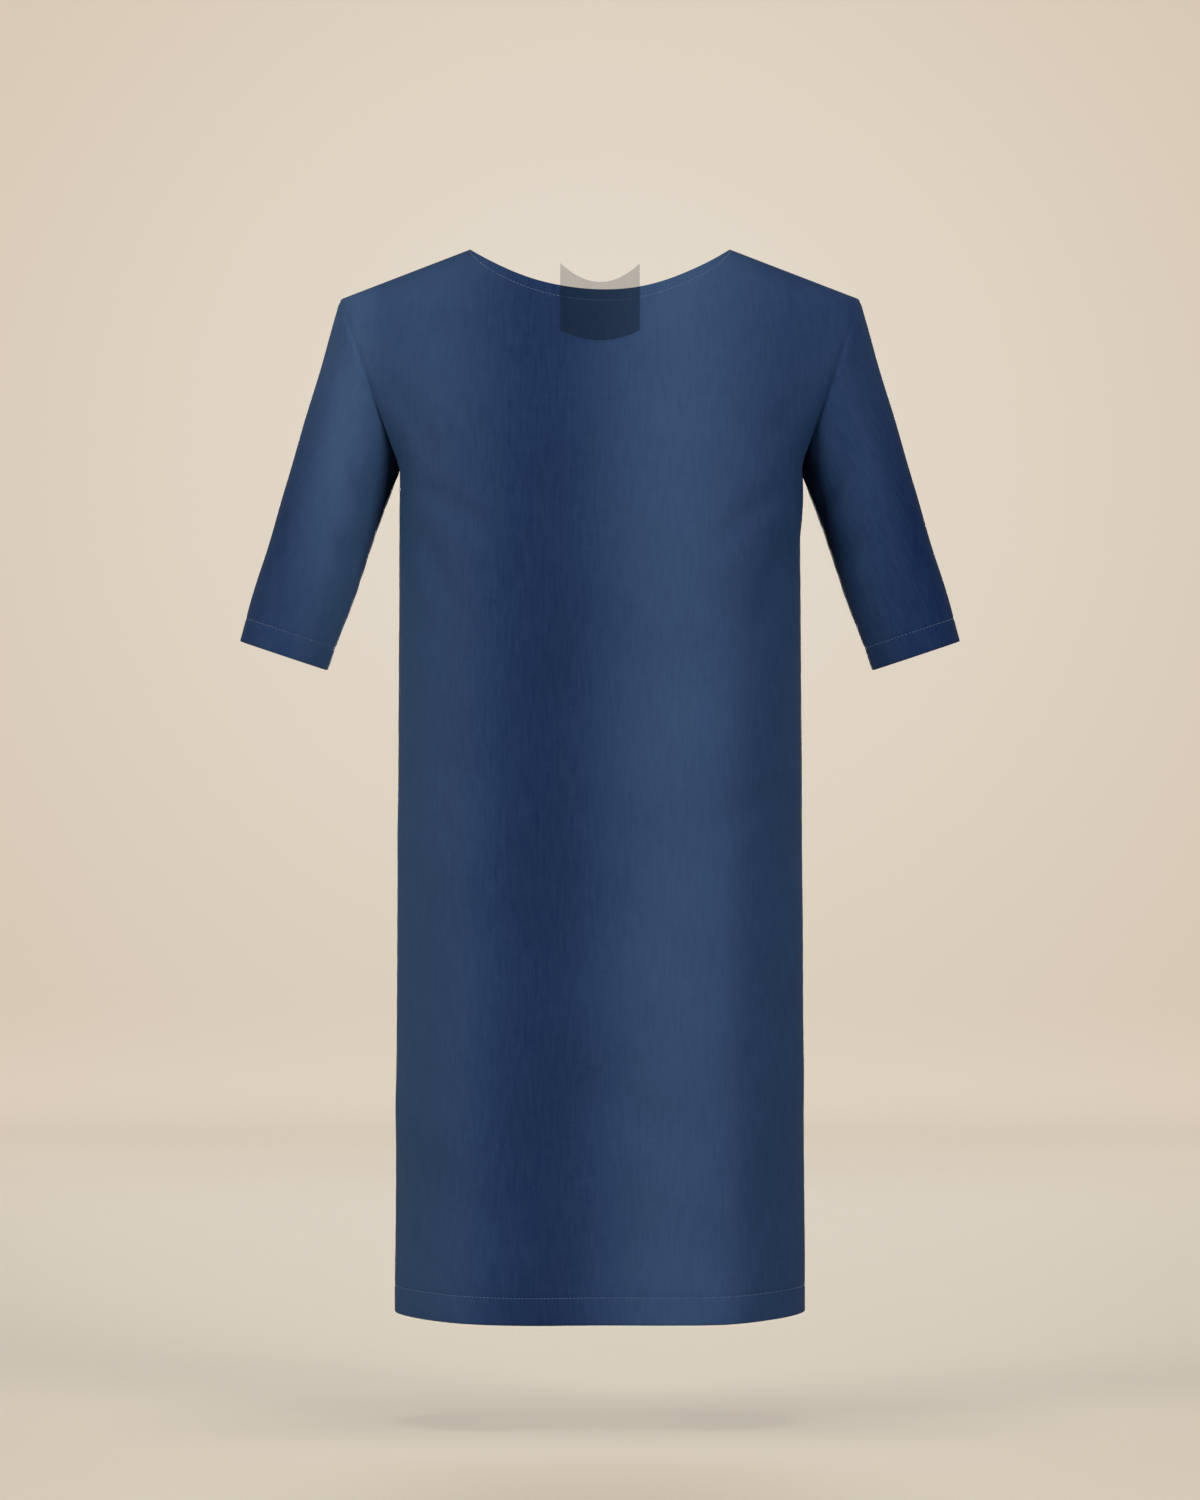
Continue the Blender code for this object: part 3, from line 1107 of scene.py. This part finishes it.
@dataclass
class Panel:
    """The front or back of the tunic, from shoulder seams and neckline to the hem."""

    node: str
    half: HalfForm
    creases: tuple[Crease, ...]
    phase: float
    flat: Point
    area: float
    columns: int = 160
    edge_columns: Numbers = (0.0013, 0.0032, 0.0058, 0.0090)
    yoke_rows: int = 64
    skirt_rows: int = 100
    hem_rows: int = 20
    hem_start: float = 0.958
    hem_band: float = 0.025
    neck_band: float = 0.012
    neck_dent_width: float = 0.0014
    neck_blend: float = 0.02
    hem_stitch_reach: float = 0.995
    neck_stitch_stop: float = 0.012
    underarm_blend: float = 0.03
    tip_blend: float = 0.02
    side_calm: float = 0.04
    shoulder_calm: float = 0.05
    pucker: float = 0.0003
    pucker_length: float = 0.026
    pucker_reach: float = 0.006
    pucker_wobble: Point = (1.7, 21.0)
    pucker_loss: float = 0.7
    pucker_fade: Point = (0.16, 0.05)
    u_line: Array = field(init=False)
    base: Array = field(init=False)
    lengths: Lengths = field(init=False)
    on_neck: Array = field(init=False)
    surface: Array = field(init=False)
    normals: Array = field(init=False)

    def _top_line(self, u: Array) -> tuple[Array, Array]:
        """The upper edge: straight shoulders, and a full parabola as neckline.

        Args:
            u: Places across, from -1 to 1.

        Returns:
            Across and fall.
        """
        turn = np.sin(np.pi / 2 * np.clip(u / CUT.neck_share, -1.0, 1.0))
        along = np.clip((np.abs(u) - CUT.neck_share) / (1 - CUT.neck_share), 0.0, 1.0)
        across = CUT.neck_half * turn + np.sign(u) * CUT.shoulder_run * along
        return across, CUT.neck_drop * (1 - turn**2) ** CUT.neck_fullness + CUT.shoulder_fall * along

    @staticmethod
    def _yoke_line(u: Array) -> tuple[Array, Array]:
        """Across and fall of a line from underarm to underarm that sags towards the middle."""
        sag = 1 - (1 - np.cos(np.pi * u / 2)) ** 2
        return CUT.chest_half * np.sin(np.pi * u / 2), CUT.underarm_fall + CUT.yoke_sag * sag

    @staticmethod
    def _hem_line(u: Array) -> tuple[Array, Array]:
        """Across and fall of the hem, a shallow parabola."""
        across = CUT.hem_half * np.sin(np.pi * u / 2)
        return across, CUT.hem_fall + CUT.hem_dip * (1 - (across / CUT.hem_half) ** 2)

    def _yoke(self, u: Array, v: Array) -> Array:
        """Points above the yoke line.

        Each column runs from the upper edge to the yoke line, eased by one less the cosine of v. The
        outermost columns bend to the armhole, half an ellipse seen from the front, by a high power
        of u.

        Args:
            u: One row of places across, from -1 to 1.
            v: One column of places down, from 0 to 1.

        Returns:
            Rows by columns by 3.
        """
        blend = 1 - np.cos(np.pi * v / 2)
        near_edge = np.abs(u) ** CUT.edge_power
        bend = (1 - np.cos(np.pi * v)) / 2 - blend
        arm_across = (CUT.chest_half - CUT.shoulder_half) * bend
        arm_fall = (CUT.underarm_fall - CUT.shoulder_fall) * bend
        (top_x, top_f), (yoke_x, yoke_f) = self._top_line(u), self._yoke_line(u)
        across = top_x + (yoke_x - top_x) * blend + near_edge * np.sign(u) * arm_across
        return self._placed(across, top_f + (yoke_f - top_f) * blend + near_edge * arm_fall, near_edge)

    def _skirt(self, u: Array, v: Array) -> Array:
        """Points below the yoke line, each column straight down to the hem line.

        Args:
            u: One row of places across, from -1 to 1.
            v: One column of places down, from 0 to 1.

        Returns:
            Rows by columns by 3.
        """
        (yoke_x, yoke_f), (hem_x, hem_f) = self._yoke_line(u), self._hem_line(u)
        across, fall = yoke_x + (hem_x - yoke_x) * v, yoke_f + (hem_f - yoke_f) * v
        return self._placed(across, fall, np.abs(u) ** CUT.edge_power)

    def _placed(self, across: Array, fall: Array, near_edge: Array) -> Array:
        """Points in space from places seen from the front."""
        depth = self.half.depth(across, fall, near_edge)
        return np.stack([across, self.half.facing.value * depth, -fall], axis=-1)

    def _seam_turns(self) -> tuple[Array, Array]:
        """Directions that the cloth turns in along at its side edges and its shoulder seams.

        The side edge takes the armhole's own directions, and below the underarm it changes to
        straight across. The shoulder seam's are square to it and change to the armhole's near the
        shoulder tip. All but the armhole's lie in the seam plane.

        Returns:
            For the sides rows by columns by 3, and for the shoulders 1 by columns by 3.
        """
        rows = self.yoke_rows + 1
        sides = []
        for column, hand in ((0, -1), (-1, 1)):
            arm = out_of_armhole(self.base[:rows, column], hand)
            below = -self.base[rows:, column, 2] - CUT.underarm_fall
            share = smoothstep(below / self.underarm_blend)[:, None]
            skirt = unit(arm[-1] * (1 - share) + np.array([hand, 0.0, 0.0]) * share)
            sides.append(np.concatenate([arm, skirt])[:, None])
        side = np.where((self.u_line < 0)[None, :, None], *sides)
        sign = np.sign(self.u_line)
        slope = unit(np.stack([sign / CUT.shoulder_slope, 0 * sign, 0 * sign + 1], axis=-1))
        from_tip = (1 - np.abs(self.u_line)) / (1 - CUT.neck_share) * CUT.shoulder_run
        share = smoothstep(from_tip / self.tip_blend)[:, None]
        return side, unit(side[0] * (1 - share) + slope * share)[None]

    def _turned_in(self, width: float) -> tuple[Array, Array]:
        """How much of a seam's turn each point takes, from 1 on the seam, and its direction.

        Args:
            width: Half width of the bell that the turn fades with.

        Returns:
            The share at each point, and a unit direction for each.
        """
        side, shoulder = self._seam_turns()
        at_side = bell(self.lengths.side, width)[..., None]
        at_top = (bell(self.lengths.down, width) * (1 - self.on_neck))[..., None]
        direction = at_side * side + at_top * (1 - at_side) * shoulder
        # A trace of the side's own direction is left where both bells have died away.
        return at_side + at_top - at_side * at_top, unit(direction + TRACE * side)

    def _relief(self) -> Array:
        """How far the cloth stands out of the form.

        Sum of slow swells, minus creases, plus puckers beside the seams (a sine along the seam times
        a hump of the distance), minus a dent along each stitch line. None of it moves a seam.

        Returns:
            The height at each point.
        """
        across, fall = self.base[..., 0], -self.base[..., 2]
        side, down = self.lengths.side, self.lengths.down
        shoulder = np.clip((np.abs(across) - CUT.neck_half) / CUT.shoulder_run, 0.0, 1.0)
        seam_across = CUT.neck_half + CUT.shoulder_run * shoulder
        from_shoulder = np.hypot(np.abs(across) - seam_across, fall - CUT.shoulder_fall * shoulder)
        calm = smoothstep(side / self.side_calm) * smoothstep(from_shoulder / self.shoulder_calm)
        relief = swell_height(PANEL_SWELLS, across + self.phase, fall) * calm
        relief -= crease_depth(self.creases, across, fall) * smoothstep(side / SEWING.crease_calm)
        wobble, pace = self.pucker_wobble
        ripple = np.sin(2 * np.pi * down / self.pucker_length + wobble * np.sin(fall * pace + self.phase))
        fade = 1 - self.pucker_loss * smoothstep((fall - self.pucker_fade[0]) / self.pucker_fade[1])
        relief += self.pucker * ripple * hump(side, self.pucker_reach) * fade
        relief -= SEWING.dent(self.lengths.end, self.hem_band)
        return relief - SEWING.dent(down, self.neck_band, self.neck_dent_width) * self.on_neck

    def _outwards(self, points: Array) -> Array:
        """Normals away from the hollow: the back's columns run to the left as seen from outside."""
        return grid_normals(points) * -self.half.facing.value

    def shape(self) -> None:
        """Work out the cloth's outer surface: the form, its relief, and the seams rolled in."""
        edge = np.array(self.edge_columns)
        even = np.linspace(-1, 1, self.columns + 1)
        self.u_line = np.concatenate([even[:1], edge - 1, even[1:-1], 1 - edge[::-1], even[-1:]])
        yoke_v = np.linspace(0, 1, self.yoke_rows + 1)[:-1]
        skirt_v = np.linspace(0, self.hem_start, self.skirt_rows + 1)[:-1]
        skirt_v = np.concatenate([skirt_v, np.linspace(self.hem_start, 1, self.hem_rows + 1)])
        u = self.u_line[None]
        self.base = np.concatenate([self._yoke(u, yoke_v[:, None]), self._skirt(u, skirt_v[:, None])])
        self.lengths = Lengths(self.base)
        self.on_neck = smoothstep((CUT.neck_share - np.abs(u)) / self.neck_blend + 0.5)
        self.surface = self.base + self._relief()[..., None] * self._outwards(self.base)
        share, turn = self._turned_in(SEWING.roll_width)
        self.surface -= SEWING.roll_depth * share * turn
        share, turn = self._turned_in(SEWING.roll_width / 2)
        self.normals = unit(self._outwards(self.surface) * (1 - share) + turn * share)

    def build(self, cloth: bpy.types.Material) -> None:
        """Args:
            cloth: The finish.
        """
        self.shape()
        hem = SEWING.turned(self.lengths.end, self.hem_band)
        neck = SEWING.turned(self.lengths.down, self.neck_band) * self.on_neck
        middle = len(self.u_line) // 2
        across = self.lengths.across - self.lengths.across[:, middle : middle + 1]
        thickness = SEWING.thickness(np.maximum(hem, neck))
        parts = [self.surface, self.normals, thickness, across, self.lengths.down]
        if self.half.facing is Facing.BACK:
            parts = [part[:, ::-1] for part in parts]
        piece = Shell(f"{self.node}_cloth", *parts, top_round=self.on_neck[0]).build(cloth)
        dress(piece, [self.node])

    def stitch(self, thread: bpy.types.Material) -> None:
        """Stitch the hem and the neckline.

        Args:
            thread: The finish.
        """
        down = arc_lengths(self.surface, 0)
        out = np.abs(self.u_line)
        hem_at = down[-1] - (self.hem_band - SEWING.stitch_inset)
        neck_at = np.full(len(out), self.neck_band - SEWING.stitch_inset)
        neck_reach = CUT.neck_share - self.neck_stitch_stop
        for edge, wanted, reach in (("hem", hem_at, self.hem_stitch_reach), ("neck", neck_at, neck_reach)):
            line = stitch_line(self.surface, self.normals, down, wanted, np.flatnonzero(out < reach))
            Stitching().build(f"{self.node}_{edge}_stitches", line, thread)


# ---- Sleeves ----


@dataclass
class Sleeve:
    """A set-in sleeve: a tapering tube whose seam runs underneath."""

    node: str
    hand: Hand
    creases: tuple[Crease, ...]
    flat: Point = (0.330, 0.315)
    area: float = 0.070
    around: int = 128
    top_rings: int = 8
    rings: int = 88
    cuff_rings: int = 16
    ring_breaks: Point = (0.03, 0.90)
    cuff_band: float = 0.022
    ease: float = 0.0006
    calm: float = 0.05
    seam_share: float = 0.8
    pucker: float = 0.00035
    pucker_length: float = 0.021
    pucker_wobble: Point = (1.3, 40.0)
    pucker_reach: float = 0.007
    seam_pucker: float = 0.3
    seam_pucker_reach: float = 0.005
    surface: Array = field(init=False)
    normals: Array = field(init=False)
    lengths: Lengths = field(init=False)

    def _tube(self, t: Array, angle: Array) -> Array:
        """Points of the bare tube.

        At share t of the way down, the ring is an ellipse: its long axis joins the outer and inner
        outline, its depths front and back shrink evenly, and it moves forward with t squared.

        Args:
            t: Shares of the way down.
            angle: Angles from the underarm round the front.

        Returns:
            One point for each pair.
        """
        outer = [a + (b - a) * t for a, b in zip((CUT.shoulder_half, CUT.shoulder_fall), CUT.cuff_outer)]
        inner = [a + (b - a) * t for a, b in zip((CUT.chest_half, CUT.underarm_fall), CUT.cuff_inner)]
        share = (1 + np.cos(angle)) / 2
        across, fall = (far + (near - far) * share for far, near in zip(outer, inner))
        in_front = np.sin(angle)
        deepest = np.where(in_front > 0, FRONT_HALF.arm_depth(t), BACK_HALF.arm_depth(t))
        depth = deepest * in_front + CUT.cuff_forward * t**2
        return np.stack([self.hand.value * across, -depth, -fall], axis=-1)

    def _relief(self, base: Array, at_armhole: Array) -> Array:
        """How far the cloth stands out of the bare tube.

        Slow swells less the ease and creases, both calm at the armhole, less the rolled seam, plus
        puckers beside armhole and seam, less the dent of the cuff's stitches.

        Args:
            base: The tube's points.
            at_armhole: 1 on the armhole's seam, fading away from it.

        Returns:
            The height at each point.
        """
        across, down, seam = self.lengths.across, self.lengths.down, self.lengths.side
        around = across / across[:, -1:] * SLEEVE_GIRTH
        swells = swell_height(SLEEVE_SWELLS, base[..., 1], -base[..., 2]) - self.ease
        relief = swells * smoothstep(down / self.calm)
        relief -= crease_depth(self.creases, around, down) * smoothstep(down / SEWING.crease_calm)
        rolled = bell(seam, SEWING.roll_width * self.seam_share) * (1 - at_armhole)
        relief -= SEWING.roll_depth * self.seam_share * rolled
        turns = 2 * np.pi / self.pucker_length
        wobble, pace = self.pucker_wobble
        ripple = np.sin(across * turns + wobble * np.sin(across * pace))
        relief += self.pucker * ripple * hump(down, self.pucker_reach)
        relief += self.seam_pucker * self.pucker * np.sin(down * turns) * hump(seam, self.seam_pucker_reach)
        return relief - SEWING.dent(self.lengths.end, self.cuff_band)

    def shape(self) -> None:
        """Work out the cloth's outer surface and turn it in at the armhole."""
        top, cuff = self.ring_breaks
        top_t = np.linspace(0, top, self.top_rings + 1)[:-1]
        middle_t = np.linspace(top, cuff, self.rings + 1)[:-1]
        t_line = np.concatenate([top_t, middle_t, np.linspace(cuff, 1, self.cuff_rings + 1)])
        angle_line = 2 * np.pi * np.arange(self.around + 1) / self.around
        base = self._tube(*np.meshgrid(t_line, angle_line, indexing="ij"))
        self.lengths = Lengths(base)
        at_armhole, share = (bell(self.lengths.down, SEWING.roll_width / divisor) for divisor in (1, 2))
        relief = self._relief(base, at_armhole)
        base, at_armhole, share = base[:, :-1], at_armhole[:, :-1, None], share[:, :-1, None]
        turn = out_of_armhole(base[0], self.hand.value)
        outwards = grid_normals(base, ring=True) * self.hand.value
        self.surface = base + relief[:, :-1, None] * outwards - SEWING.roll_depth * at_armhole * turn
        free = grid_normals(self.surface, ring=True) * self.hand.value
        self.normals = unit(free * (1 - share) + turn * share)

    def build(self, cloth: bpy.types.Material) -> None:
        """Args:
            cloth: The finish.
        """
        self.shape()
        thickness = SEWING.thickness(SEWING.turned(self.lengths.end, self.cuff_band))[:, :-1]
        parts = [self.surface, self.normals, thickness]
        flat = [self.lengths.across, self.lengths.down]
        if self.hand is Hand.RIGHT:
            parts = [np.concatenate([part[:, :1], part[:, :0:-1]], axis=1) for part in parts]
            flat = [part[:, ::-1] for part in flat]
        piece = Shell(f"{self.node}_cloth", *parts, *flat, top_round=0.0, ring=True).build(cloth)
        dress(piece, [self.node])

    def stitch(self, thread: bpy.types.Material) -> None:
        """Stitch the cuff.

        Args:
            thread: The finish.
        """
        down = self.lengths.down
        wanted = down[-1] - (self.cuff_band - SEWING.stitch_inset)
        columns = [*range(self.around), 0]
        line = stitch_line(self.surface, self.normals, down, wanted, columns)
        Stitching().build(f"{self.node}_cuff_stitches", line, thread)


# ---- Neck tab ----


@dataclass
class NeckTab:
    """A small sheer tab that lies on the middle of the front neckline and stands above it."""

    node: str = "neck_tab"
    half_width: float = 0.0336
    top_fall: float = 0.0150
    top_scoop: float = 0.0160
    bottom_fall: float = 0.0720
    bottom_curve: float = 0.0084
    wall: float = 0.0004
    lift: float = 0.0007
    columns: int = 72
    rows: int = 64
    flat: Point = (0.069, 0.067)
    area: float = 0.0039

    def build(self, cloth: bpy.types.Material) -> None:
        """Make the tab.

        It follows the front's form, which it carries on above the neckline, moved out along the
        normals. Its top edge is scooped and its bottom edge curved, both as parabolas.

        Args:
            cloth: The finish.
        """
        across_line = np.linspace(-self.half_width, self.half_width, self.columns + 1)
        across, share = np.meshgrid(across_line, np.linspace(0, 1, self.rows + 1))
        middle = 1 - (across / self.half_width) ** 2
        top = self.top_fall + self.top_scoop * middle
        bottom = self.bottom_fall + self.bottom_curve * middle
        fall = top + (bottom - top) * share
        depth = FRONT_HALF.depth(across, fall) + swell_height(PANEL_SWELLS, across, fall)
        form = np.stack([across, -depth, -fall], axis=-1)
        outwards = grid_normals(form)
        outer = form + (self.lift + self.wall) * outwards
        lengths = Lengths(outer)
        parts = [outer, outwards, np.full(across.shape, self.wall), lengths.across, lengths.down]
        piece = Shell(f"{self.node}_cloth", *parts, rim_points=1).build(cloth)
        dress(piece, [self.node])


# ---- The whole tunic ----


class Tunic:
    """The garment: its panels, sleeves, tab and stitching."""

    def __init__(self) -> None:
        """Cut the panels and the sleeves."""
        self.cut = (
            Panel("front", FRONT_HALF, FRONT_CREASES, 0.0, (0.520, 0.945), 0.420),
            Panel("back", BACK_HALF, BACK_CREASES, 0.37, (0.510, 0.940), 0.402),
            Sleeve("sleeve_left", Hand.LEFT, LEFT_SLEEVE_CREASES),
            Sleeve("sleeve_right", Hand.RIGHT, RIGHT_SLEEVE_CREASES),
        )

    def build(self) -> None:
        """Build every piece in sewing order."""
        navy, sheer, thread = NavyCloth().material(), SheerCloth().material(), SewingThread().material()
        for piece in self.cut:
            piece.build(navy)
        NeckTab().build(sheer)
        for piece in self.cut:
            piece.stitch(thread)


# ---- Studio ----


@dataclass(frozen=True)
class Lamp:
    """An area light; its azimuth is 0 in front and 90 at the viewer's right, its spread is the beam's
    full angle in degrees, and its aim is the height on the centre line that it points at."""

    name: str
    azimuth: float
    height: float
    distance: float
    size: Point
    watts: float
    spread: float = 180.0
    colour: Colour = (1.0, 1.0, 1.0)
    aim: float = -0.425


@dataclass
class Studio:
    """Floor and round wall in one sweep, soft lights, and the camera."""

    floor_fall: float = 0.9945
    floor_radius: float = 9.0
    floor_rings: int = 11
    bend_radius: float = 2.5
    bend_rings: int = 16
    wall_height: float = 3.0
    spokes: int = 96
    view_distance: float = 6.0
    view_fall: float = 0.425
    frame_height: float = 1.275
    sensor: float = 36.0
    world: Colour = (1.0, 0.99, 0.97)
    world_strength: float = 0.12
    lamps: tuple[Lamp, ...] = (
        Lamp("key", -50.0, 0.6, 5.5, (2.2, 1.6), 115.0, 80.0, (1.0, 0.98, 0.95)),
        Lamp("fill", 38.0, 0.6, 5.5, (2.2, 1.6), 118.0, 80.0),
        Lamp("rear", 180.0, -0.13, 5.5, (2.4, 1.1), 45.0, 50.0, aim=0.3),
        Lamp("top", 0.0, 5.0, 0.1, (1.6, 2.2), 400.0),
    )

    def build(self) -> None:
        """Build the sweep, the lights and the camera."""
        self._sweep()
        for lamp in self.lamps:
            self._light(lamp)
        self._world()
        self._camera()

    def _sweep(self) -> None:
        """Turn a profile round the garment: flat floor, a quarter circle, and an upright wall."""
        bend = np.linspace(0, np.pi / 2, self.bend_rings + 1)
        floor = np.linspace(0.001, self.floor_radius, self.floor_rings + 1)[:-1]
        bent = self.floor_radius + self.bend_radius * np.sin(bend)
        radius = np.concatenate([floor, bent, bent[-1:]])[:, None]
        rise = self.bend_radius * (1 - np.cos(bend))
        height = np.concatenate([0 * floor, rise, rise[-1:] + self.wall_height])[:, None]
        turns = (2 * np.pi * np.arange(self.spokes) / self.spokes)[None]
        points = [radius * np.cos(turns), radius * np.sin(turns), height - self.floor_fall + 0 * turns]
        number = np.arange(points[0].size).reshape(points[0].shape)
        faces = quad_corners(np.concatenate([number, number[:, :1]], axis=1)).tolist()
        smooth_mesh("sweep", np.stack(points, axis=-1), faces, Backdrop().material())

    def _light(self, lamp: Lamp) -> None:
        """Hang an area light and turn it to its aim.

        Args:
            lamp: Its sizes and place.
        """
        data = bpy.data.lights.new(lamp.name, "AREA")
        data.shape = "RECTANGLE"
        data.size, data.size_y = lamp.size
        data.energy = lamp.watts
        data.spread = math.radians(lamp.spread)
        data.color = lamp.colour
        made = bpy.data.objects.new(lamp.name, data)
        turn = math.radians(lamp.azimuth)
        made.location = (lamp.distance * math.sin(turn), -lamp.distance * math.cos(turn), lamp.height)
        aim = Vector((0.0, 0.0, lamp.aim)) - made.location
        made.rotation_euler = aim.to_track_quat("-Z", "Y").to_euler()
        made.visible_camera = False
        bpy.context.scene.collection.objects.link(made)

    def _world(self) -> None:
        """Even light from all round."""
        world = bpy.data.worlds.new("studio")
        world.use_nodes = True
        background = world.node_tree.nodes["Background"]
        background.inputs["Color"].default_value = (*self.world, 1.0)
        background.inputs["Strength"].default_value = self.world_strength
        bpy.context.scene.world = world
        bpy.context.scene.view_settings.view_transform = "Standard"

    def _camera(self) -> None:
        """A long lens level with the garment's middle; the frame's long side is its height."""
        data = bpy.data.cameras.new("camera")
        data.sensor_width = self.sensor
        data.lens = self.sensor * self.view_distance / self.frame_height
        camera = bpy.data.objects.new("camera", data)
        camera.location = (0.0, -self.view_distance, -self.view_fall)
        camera.rotation_euler = (math.pi / 2, 0.0, 0.0)
        bpy.context.scene.collection.objects.link(camera)
        bpy.context.scene.camera = camera


def main() -> None:
    """Build the tunic and the studio."""
    logging.basicConfig(level=logging.INFO, format="%(name)s: %(message)s")
    Tunic().build()
    Studio().build()


if __name__ == "__main__":
    main()
